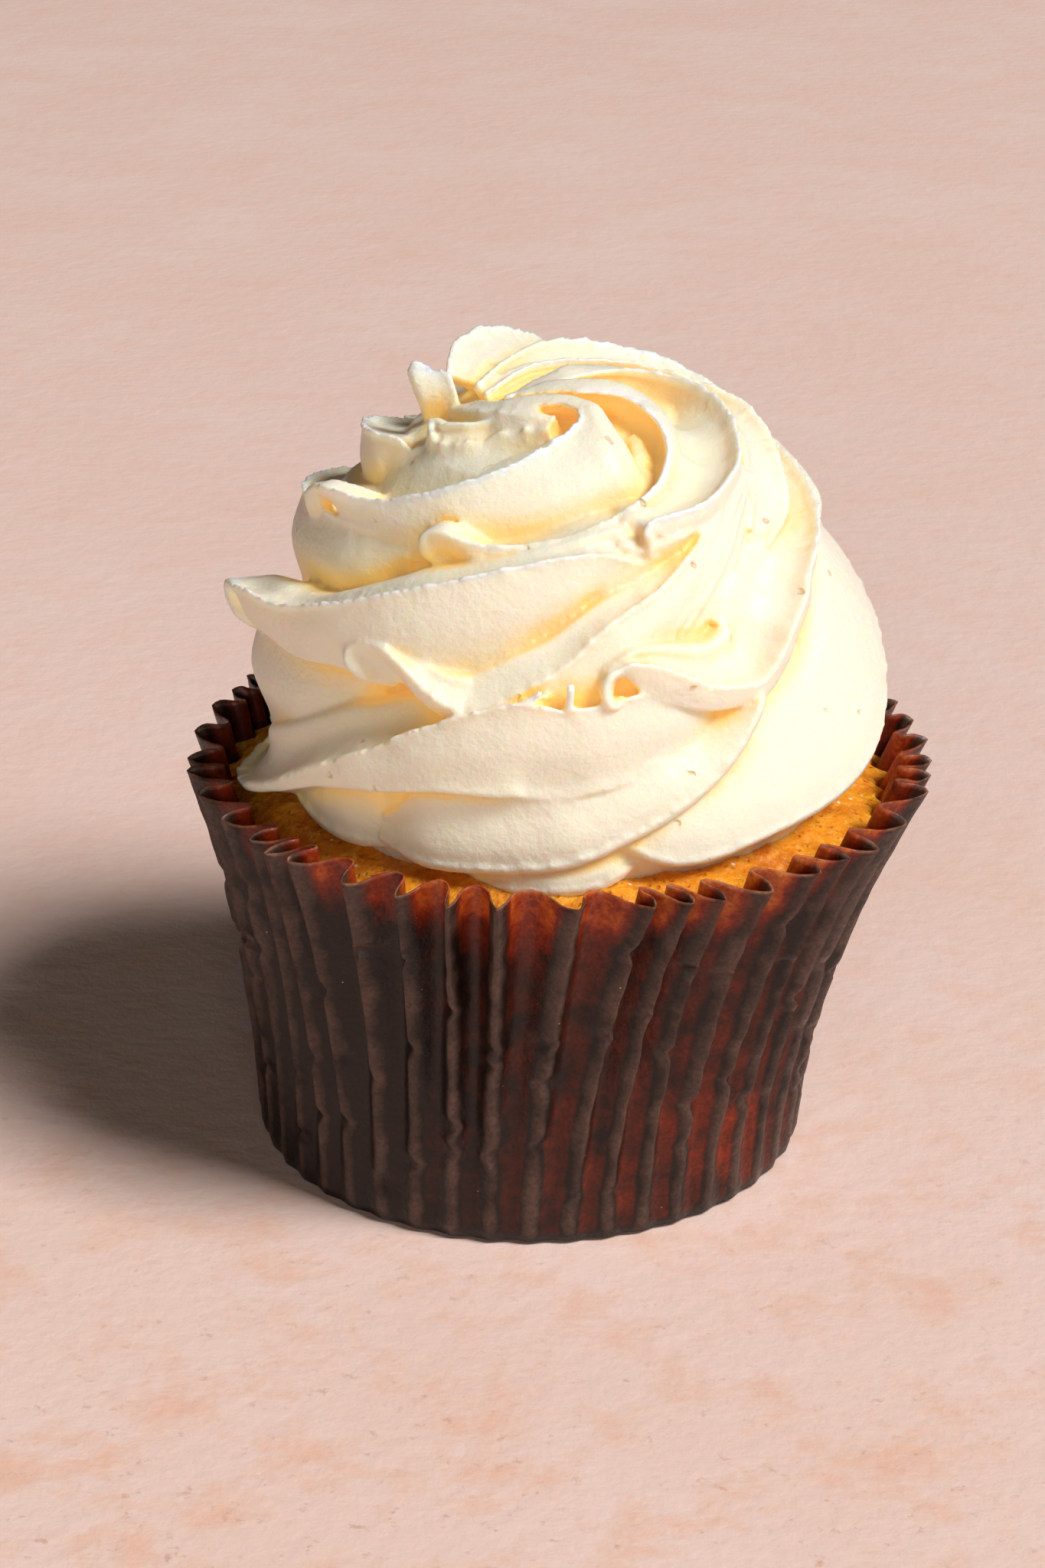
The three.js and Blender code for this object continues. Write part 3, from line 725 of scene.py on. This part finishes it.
for name, values in creases.items():
    rays = values["rays"]
    addCreases(cream, name, values["reach"] * mm, rays, values["passes"], values["side"])
print("creases found")


# "open" is the cream's own colour; the crease and seam colours are painted shade, the edge colour a painted
# highlight, the pit colour painted shade and the glow a painted glow
creamLook = {
    "shader": {"Roughness": 0.42, "IOR": 1.42, "Subsurface Weight": 0.8, "Subsurface Scale": 1.3 * mm,
               "Subsurface Radius": (1.0, 0.5, 0.2)},
    "open": (0.95, 0.88, 0.725, 1), "crease": (0.93, 0.67, 0.27, 1), "creaseRange": (0.04, 0.42),
    "seamShade": (0.93, 0.61, 0.16, 1), "seamShadeRange": (0.05, 0.3), "edge": (0.97, 0.94, 0.88, 1),
    "edgeRange": (0.2, 0.55), "glow": 0.14, "glowPower": 1.6, "glowColor": (1.0, 0.76, 0.3, 1),
    "grain": (1900, 3, 0.6), "grainDepth": 0.1 * mm, "lump": (420, 3, 0.55), "lumpDepth": 0.2 * mm,
    "wander": 900, "wanderShare": 0.0012, "pit": (300, 0.11, 0.04, 0.6), "pitDepth": 0.4 * mm,
    "pitShade": (0.85, 0.6, 0.28, 1), "pitShadeShare": 0.5,
}


def creamMaterial():
    look = creamLook
    material, nodes, shader = newMaterial("cream", look)
    place = nodes.place()
    crease = nodes.between(nodes.attribute("crease"), *look["creaseRange"])
    seamShade = nodes.between(nodes.attribute("seamShade"), *look["seamShadeRange"])
    wander = nodes.add("ShaderNodeTexNoise", None, Vector=place, Scale=look["wander"], Detail=1)
    bent = nodes.add("ShaderNodeMix", {"data_type": "VECTOR"}, _0=look["wanderShare"], _4=place,
                     _5=wander.outputs["Color"])
    pit = nodes.spots(bent.outputs[1], *look["pit"])
    # painted shade: the cream darkens and turns golden deep in creases and seams
    color = nodes.blend(crease, look["open"], look["crease"])
    color = nodes.blend(seamShade, color, look["seamShade"])
    # painted highlight: the thin edges are lightened
    color = nodes.blend(nodes.between(nodes.attribute("edge"), *look["edgeRange"]), color, look["edge"])
    # painted shade inside the pits
    color = nodes.blend(nodes.times(pit, look["pitShadeShare"]), color, look["pitShade"])
    normal = nodes.bump(nodes.noise(place, *look["lump"]), look["lumpDepth"])
    normal = nodes.bump(nodes.noise(place, *look["grain"]), look["grainDepth"], normal)
    normal = nodes.bump(nodes.times(pit, -1), look["pitDepth"], normal)
    nodes.put(shader, "Base_Color", color)
    nodes.put(shader, "Normal", normal)
    # painted glow: the creases give off a warm light of their own
    nodes.put(shader, "Emission_Color", look["glowColor"])
    glow = nodes.math("POWER", crease, look["glowPower"])
    nodes.put(shader, "Emission_Strength", nodes.times(glow, look["glow"]))
    return material


cream.data.materials.clear()
cream.data.materials.append(creamMaterial())
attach(cream, "root")
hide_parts("frosting")
print("cream finished")

# ---- the paper case

case = {
    "pleats": 46, "parts": 14, "rows": 70, "rowPower": 0.95, "thickness": 0.15,
    "baseRadius": 25.2, "rimRadius": 32.0, "rimHeight": 37.6, "flare": 2, "waistX": -0.5, "offset": 1.6,
    "corner": 1.5, "footRings": ((0.5, 0.0), (0.93, 0.0), (0.965, 0.08), (0.988, 0.42)),
}
# the form of a pleat: how deep, how square inside and outside, how narrow and sharp its fold is, how far
# it leans over, and the slow waves that make the pleats uneven, as (size, waves round the case, start)
pleat = {
    "depthAtBase": 0.15, "depthAtRim": 3.1, "deepening": 0.9, "squareness": 0.44, "squareInside": 1.1,
    "squareOutside": 0.35, "narrow": 0.55, "sharp": 0.97, "lean": 0.95, "leanWidth": 1.5, "leanTurn": 2.4,
    "leanFront": 0.6, "waves": ((0.035, 5, 1), (0.03, 11, 0)), "jitter": 0.16,
    "slant": 0.45, "foldRise": 0.3, "riseOver": 9, "rimWaver": 0.1, "rimWaverTurn": 5, "rimBand": 0.9,
}
# what is drawn at random for each pleat
chance = {
    "seed": 21, "kinks": (2, 3, 3, 4), "kinkSize": (0.3, 0.75), "kinkHeight": (4, 32),
    "kinkWidth": (0.6, 1.2), "kinkDepth": 0.8, "depth": (0.8, 1.15), "rise": (-0.3, 0.3),
    "width": (-0.12, 0.14),
}
# the paper's crumples: waves are given along the turn and up the wall, and the foot stays stiff
crumple = {
    "stiffFoot": 8, "buckle": 0.35, "buckleWave": (1.3, 0.16), "buckleTurn": 0.35,
    "ripple": 0.16, "rippleWave": (1.7, 0.55), "outward": 0.5,
}
# painted glow of light shining through the paper, over the lit right side and low down on the right, with
# grease soaked in along the rim
shineThroughAndGrease = {
    "at": 35, "patchTurn": 2, "patchClimb": 0.12, "patchShare": 0.15, "rimRange": (0.72, 1.02),
    "farShare": 0.3, "lowAt": 42, "lowWidth": 22, "lowRange": (0.75, 0.3), "lowPatch": (-0.3, 0.5),
    "lowLift": 0.2, "lowShare": 0.42, "sideShare": 0.24, "foldRange": (0.35, 0.8), "foldShare": 0.15,
}


def climb(height, power):
    return min(1.0, max(0.0, height / case["rimHeight"])) ** power


def wallRadius(height):
    return mix(case["baseRadius"], case["rimRadius"], climb(height, case["flare"]))


def wallCentre(height):
    share = climb(height, case["offset"])
    return mix(case["waistX"], axisX, share), axisY * share


def pleatDraws():
    rng = random.Random(chance["seed"])
    draws = []
    for _ in range(case["pleats"]):
        kinks = []
        for _ in range(rng.choice(chance["kinks"])):
            size = rng.choice((-1, 1)) * rng.uniform(*chance["kinkSize"])
            kinks.append((rng.uniform(*chance["kinkHeight"]), size, rng.uniform(*chance["kinkWidth"])))
        draws.append({"shift": rng.gauss(0, 1), "depth": rng.uniform(*chance["depth"]),
                      "rise": rng.uniform(*chance["rise"]), "width": rng.uniform(*chance["width"]),
                      "kinks": kinks})
    return draws


pleatDraw = pleatDraws()


# the pleat at a turn: its draw, the phase from fold to fold, and how near the outer fold is
def pleatAt(turn):
    phase = (turn % 1.0) * 2 * math.pi
    return pleatDraw[int(math.floor(turn + 0.5)) % case["pleats"]], phase, 0.5 + 0.5 * math.cos(phase)


# the folds lie over to the right from the front on, and to the left on the left of the case
def leaning(azimuth):
    return min(1.0, max(-1.0, pleat["leanTurn"] * math.sin(azimuth) + pleat["leanFront"]))


# a point of the folded wall: turn in pleats round the case, height up the wall
def wallPoint(turn, height):
    count = case["pleats"]
    draw, phase, near = pleatAt(turn)
    azimuth = turn / count * 2 * math.pi
    uneven = sum(size * math.sin(waves * azimuth + start) for size, waves, start in pleat["waves"])
    uneven += draw["shift"] * pleat["jitter"] / count * near * 2
    square = pleat["squareness"] * mix(pleat["squareInside"], pleat["squareOutside"], near)
    squeeze = (square + draw["width"] * near) * math.sin(2 * phase) / count
    squeeze -= pleat["narrow"] * math.sin(phase) / count
    sway = pleat["lean"] * leaning(azimuth) * math.cos(phase) * pleat["leanWidth"] / count
    angle = azimuth + (uneven + squeeze + sway) * climb(height, 1)
    depth = mix(pleat["depthAtBase"], pleat["depthAtRim"], climb(height, pleat["deepening"]))
    depth *= mix(1, draw["depth"], near)
    crest = math.asin(pleat["sharp"] * math.cos(phase)) / math.asin(pleat["sharp"])
    radius = wallRadius(height) + 0.5 * depth * crest
    for at, size, width in draw["kinks"]:
        bend = max(0.0, 1 - abs(height - at) / width)
        angle += size * bend * near / radius
        radius -= abs(size) * chance["kinkDepth"] * bend * near
    settled = min(1.0, height / crumple["stiffFoot"])
    across, up = crumple["buckleWave"]
    buckle = noise.noise(Vector((turn * across, height * up, 3.7))) * crumple["buckle"] * settled
    across, up = crumple["rippleWave"]
    ripple = noise.noise(Vector((turn * across, height * up, 8.1))) * crumple["ripple"] * settled * near
    radius += buckle * crumple["outward"] + ripple * crumple["outward"]
    angle += (buckle * crumple["buckleTurn"] + ripple) / radius
    x, y = wallCentre(height)
    return x + radius * math.sin(angle), y - radius * math.cos(angle)


# how high the rim stands at a turn, over the even rim
def rimRise(turn):
    draw, phase, near = pleatAt(turn)
    azimuth = math.radians(turn / case["pleats"] * 360)
    rise = pleat["slant"] * leaning(azimuth) * math.sin(phase) - pleat["foldRise"] * math.cos(phase)
    waver = pleat["rimWaver"] * noise.noise(Vector((turn * pleat["rimWaverTurn"], 0, 1.5)))
    return rise + (draw["rise"] * near + waver)


# painted glow of light shining through the paper on the lit side, mixed with grease along the rim, and less
# on the outer folds
def shineThroughAndGreaseAt(turn, height):
    near = pleatAt(turn)[2]
    azimuth = turn / case["pleats"] * 360
    angle = math.radians(azimuth)
    patch = noise.noise(Vector((math.sin(angle) * shineThroughAndGrease["patchTurn"], math.cos(angle) * shineThroughAndGrease["patchTurn"],
                                height * shineThroughAndGrease["patchClimb"])))
    side = 0.5 + 0.5 * math.cos(math.radians(azimuth - shineThroughAndGrease["at"]))
    share = height / case["rimHeight"]
    rim = smooth(*shineThroughAndGrease["rimRange"], share + shineThroughAndGrease["patchShare"] * patch)
    rim *= mix(shineThroughAndGrease["farShare"], 1, side ** 2)
    aside = (azimuth - shineThroughAndGrease["lowAt"]) / shineThroughAndGrease["lowWidth"]
    low = smooth(*shineThroughAndGrease["lowRange"], share) * math.exp(-aside ** 2)
    low = shineThroughAndGrease["lowShare"] * low * smooth(*shineThroughAndGrease["lowPatch"], patch + shineThroughAndGrease["lowLift"])
    shineAndSoak = max(rim, low, shineThroughAndGrease["sideShare"] * side ** 3)
    return shineAndSoak * mix(1, shineThroughAndGrease["foldShare"], smooth(*shineThroughAndGrease["foldRange"], near))


def paperCase():
    total = case["pleats"] * case["parts"]
    x0, y0 = wallCentre(0)
    vertices = [(x0, y0, 0.0)]
    for share, lift in case["footRings"]:
        for i in range(total):
            x, y = wallPoint(i / case["parts"], case["corner"])
            vertices.append((mix(x0, x, share), mix(y0, y, share), lift))
    # per point: the rim band, the painted shine-through glow with grease, and how near the outer fold is
    rim, shineAndGrease, fold = [0.0] * len(vertices), [0.0] * len(vertices), [0.5] * len(vertices)
    for row in range(case["rows"]):
        share = (row / (case["rows"] - 1)) ** case["rowPower"]
        height = case["corner"] + (case["rimHeight"] - case["corner"]) * share
        top = smooth(case["rimHeight"] - pleat["riseOver"], case["rimHeight"], height)
        for i in range(total):
            turn = i / case["parts"]
            x, y = wallPoint(turn, height)
            vertices.append((x, y, height + rimRise(turn) * top))
            rim.append(max(0.0, 1 - (case["rimHeight"] - height) / pleat["rimBand"]))
            shineAndGrease.append(shineThroughAndGreaseAt(turn, height))
            fold.append(pleatAt(turn)[2])
    faces = [(0, 1 + (i + 1) % total, 1 + i) for i in range(total)]
    faces += loftFaces(case["rows"] + len(case["footRings"]), total, 1)
    paper = meshObject("paper_wrapper", np.array(vertices) * mm, faces)
    addAttribute(paper, "rim", rim)
    addAttribute(paper, "shineAndGrease", shineAndGrease)
    addAttribute(paper, "fold", fold)
    applyModifier(paper, "SOLIDIFY", thickness=case["thickness"] * mm, offset=-1)
    shadeSmooth(paper)
    return paper


# the paper's own colour is "dark"; the "light" colour is a painted highlight on the outer folds, the red and
# glow colours are painted light shining through the paper together with grease, the speck colour is painted
# glints, and the rim edge is worn
paperLook = {
    "shader": {"Specular IOR Level": 0.36, "Subsurface Weight": 0.35, "Subsurface Scale": 0.5 * mm,
               "Subsurface Radius": (1.0, 0.2, 0.04)},
    "dark": (0.011, 0.0035, 0.002, 1), "light": (0.105, 0.054, 0.039, 1), "lightRange": (0.62, 1.15),
    "mottle": (260, 4, 0.6), "mottleRange": (0.3, 0.7, -0.3, 0.3),
    "red": (0.33, 0.03, 0.003, 1), "redRange": (0.08, 0.5), "glow": (0.72, 0.2, 0.03, 1),
    "glowRange": (0.42, 1.0), "streak": (300, 4, 0.6), "streakRange": (0.3, 0.7, 0.35, 1.15),
    "edge": (0.34, 0.15, 0.075, 1), "edgeRange": (0.7, 1.0), "edgeShare": 0.75,
    "worn": (420, 3, 0.6), "wornRange": (0.4, 0.62), "black": (0, 0, 0, 1),
    "grain": (2600, 2, 0.6), "grainDepth": 0.035 * mm, "grainRoughness": (0.3, 0.7, 0.34, 0.5),
    "grainDark": (0.35, 0.7, 0.0, 0.45), "lump": (500, 4, 0.6), "lumpDepth": 0.15 * mm,
    "speck": (0.8, 0.45, 0.2, 1), "sparkleSpots": (420, 0.045, 0.02, 0.75), "sparkleShare": 0.8,
}


def paperMaterial():
    look = paperLook
    material, nodes, shader = newMaterial("brown_paper", look)
    place = nodes.place()
    # painted highlight: the outer folds are lighter than the dark paper
    mottle = nodes.pattern(place, look, "mottle")
    ridge = nodes.math("ADD", nodes.attribute("fold"), mottle)
    color = nodes.blend(nodes.between(ridge, *look["lightRange"]), look["dark"], look["light"])
    # painted light shining through the paper, together with grease
    streak = nodes.pattern(place, look, "streak")
    shineAndGrease = nodes.times(streak, nodes.attribute("shineAndGrease"))
    color = nodes.blend(nodes.between(shineAndGrease, *look["redRange"]), color, look["red"])
    color = nodes.blend(nodes.between(shineAndGrease, *look["glowRange"]), color, look["glow"])
    worn = nodes.pattern(place, look, "worn")
    edge = nodes.times(nodes.between(nodes.attribute("rim"), *look["edgeRange"]), worn)
    color = nodes.blend(nodes.times(edge, look["edgeShare"]), color, look["edge"])
    grain = nodes.noise(place, *look["grain"])
    color = nodes.blend(nodes.between(grain, *look["grainDark"]), color, look["black"])
    # painted glints: tiny light specks scattered over the paper
    speck = nodes.spots(place, *look["sparkleSpots"])
    color = nodes.blend(nodes.times(speck, look["sparkleShare"]), color, look["speck"])
    nodes.put(shader, "Base_Color", color)
    nodes.put(shader, "Roughness", nodes.between(grain, *look["grainRoughness"]))
    normal = nodes.bump(nodes.noise(place, *look["lump"]), look["lumpDepth"])
    nodes.put(shader, "Normal", nodes.bump(grain, look["grainDepth"], normal))
    return material


paper = paperCase()
paper.data.materials.append(paperMaterial())
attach(paper, "root")
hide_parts("paper_case")
print("paper case")

# ---- the cake

# its rings from the foot to the top, the form of the crown, its lumps, and the gap to the paper
crumb = {
    "segments": 690, "foot": 0.7, "footRings": (0.5, 0.97),
    "wallHeights": (1.4, 8, 14, 20, 25, 29, 30.5, 31.6), "belowEdge": (1.2, 0.4),
    "topRings": 60, "topInset": 0.004, "topSpan": 0.4, "innerRings": (0.45, 0.3, 0.15),
    "edge": 33.9, "crown": 37.1, "crownPower": 5, "crownInset": 1.5,
    "evenInset": 2, "evenBelow": 0.6, "evenRange": (0.86, 0.99),
    "lump": 0.55, "lumpWave": 0.35, "grain": 0.2, "grainWave": 1.4,
    "grainFractal": (0.7, 2.1, 4),
    "gap": 0.22, "reach": 0.35, "sunken": 1.6, "sunkenRange": (1, 4),
}


def crownHeight(reach):
    share = min(1.0, reach / (case["rimRadius"] - crumb["crownInset"]))
    return mix(crumb["crown"], crumb["edge"], share ** crumb["crownPower"])


# how far the cake may reach in each direction without touching the folded wall
def roomInside(height):
    total = crumb["segments"]
    x0, y0 = wallCentre(height)
    steps = case["pleats"] * case["parts"] * 2
    wall = np.array([wallPoint(i / case["parts"] / 2, height) for i in range(steps)]) - (x0, y0)
    angles = np.arctan2(wall[:, 0], -wall[:, 1])
    radii = np.hypot(wall[:, 0], wall[:, 1])
    room = np.zeros(total)
    for i in range(total):
        off = np.abs((angles - i / total * 2 * math.pi + math.pi) % (2 * math.pi) - math.pi)
        room[i] = radii[off * radii < crumb["reach"]].min()
    start, full = crumb["sunkenRange"]
    hidden = crumb["sunken"] * smooth(crumb["edge"] - start, crumb["edge"] - full, height)
    return room - case["thickness"] - crumb["gap"] - hidden


# a ring of the cake at a share of the way out: it follows the folds near the wall and is even further in
def cakeRing(share, height, top=False):
    points = []
    total = crumb["segments"]
    even = wallRadius(height) - crumb["evenInset"]
    room = roomInside(height) if share > crumb["evenBelow"] else [even] * total
    x0, y0 = wallCentre(height)
    for i in range(total):
        azimuth = i / total * 2 * math.pi
        radius = share * mix(even, room[i], smooth(*crumb["evenRange"], share))
        x, y, z = x0 + radius * math.sin(azimuth), y0 - radius * math.cos(azimuth), height
        if top:
            spot = Vector((x, y, 0))
            z = crownHeight(math.hypot(x - axisX, y - axisY))
            z += crumb["lump"] * noise.noise(spot * crumb["lumpWave"])
            z += crumb["grain"] * noise.fractal(spot * crumb["grainWave"], *crumb["grainFractal"])
        points.append((x, y, z))
    return points


def cakeBody():
    total = crumb["segments"]
    rings = [cakeRing(share, crumb["foot"]) for share in crumb["footRings"]]
    heights = [*crumb["wallHeights"], *(crumb["edge"] - below for below in crumb["belowEdge"])]
    rings += [cakeRing(1.0, height) for height in heights]
    for k in range(crumb["topRings"]):
        share = 1 - crumb["topInset"] - crumb["topSpan"] * k / (crumb["topRings"] - 1)
        rings.append(cakeRing(share, crumb["edge"], True))
    rings += [cakeRing(share, crumb["edge"], True) for share in crumb["innerRings"]]
    vertices = [(case["waistX"], 0, crumb["foot"])] + [point for ring in rings for point in ring]
    vertices.append((axisX, axisY, crumb["crown"]))
    last = len(vertices) - 1
    faces = [(0, 1 + (i + 1) % total, 1 + i) for i in range(total)]
    faces += loftFaces(len(rings), total, 1)
    faces += [(last, last - total + i, last - total + (i + 1) % total) for i in range(total)]
    body = meshObject("cake_crumb", np.array(vertices) * mm, faces)
    shadeSmooth(body)
    return body


cakeLook = {
    "shader": {"Roughness": 0.4, "Specular IOR Level": 0.3, "Coat Weight": 0.2, "Coat Roughness": 0.14,
               "Subsurface Weight": 0.6, "Subsurface Scale": 1.4 * mm,
               "Subsurface Radius": (1.0, 0.35, 0.06)},
    "gold": (0.92, 0.37, 0.02, 1), "deep": (0.6, 0.16, 0.008, 1),
    "patch": (240, 4, 0.6), "patchRange": (0.38, 0.7),
    "pale": (1.0, 0.62, 0.13, 1), "fine": (1300, 3, 0.6), "fineRange": (0.5, 0.75, 0.0, 0.5),
    "pit": (1100, 0.28, 0.1, 0.0), "pitShadeShare": 0.5, "pitDepth": 0.2 * mm,
    "glint": (1.0, 0.93, 0.8, 1), "glints": (900, 0.2, 0.1, 0.86), "lump": (900, 4, 0.65),
    "lumpDepth": 0.4 * mm,
}


def cakeMaterial():
    look = cakeLook
    material, nodes, shader = newMaterial("moist_crumb", look)
    place = nodes.place()
    patch = nodes.pattern(place, look, "patch")
    color = nodes.blend(patch, look["gold"], look["deep"])
    fine = nodes.pattern(place, look, "fine")
    color = nodes.blend(fine, color, look["pale"])
    pit = nodes.spots(place, *look["pit"])
    # painted shade: the pits are darkened towards the deep colour
    color = nodes.blend(nodes.times(pit, look["pitShadeShare"]), color, look["deep"])
    color = nodes.blend(nodes.spots(place, *look["glints"]), color, look["glint"])
    nodes.put(shader, "Base_Color", color)
    normal = nodes.bump(nodes.noise(place, *look["lump"]), look["lumpDepth"])
    nodes.put(shader, "Normal", nodes.bump(nodes.times(pit, -1), look["pitDepth"], normal))
    return material


cake = cakeBody()
cake.data.materials.append(cakeMaterial())
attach(cake, "root")
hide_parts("cake")
print("cake")
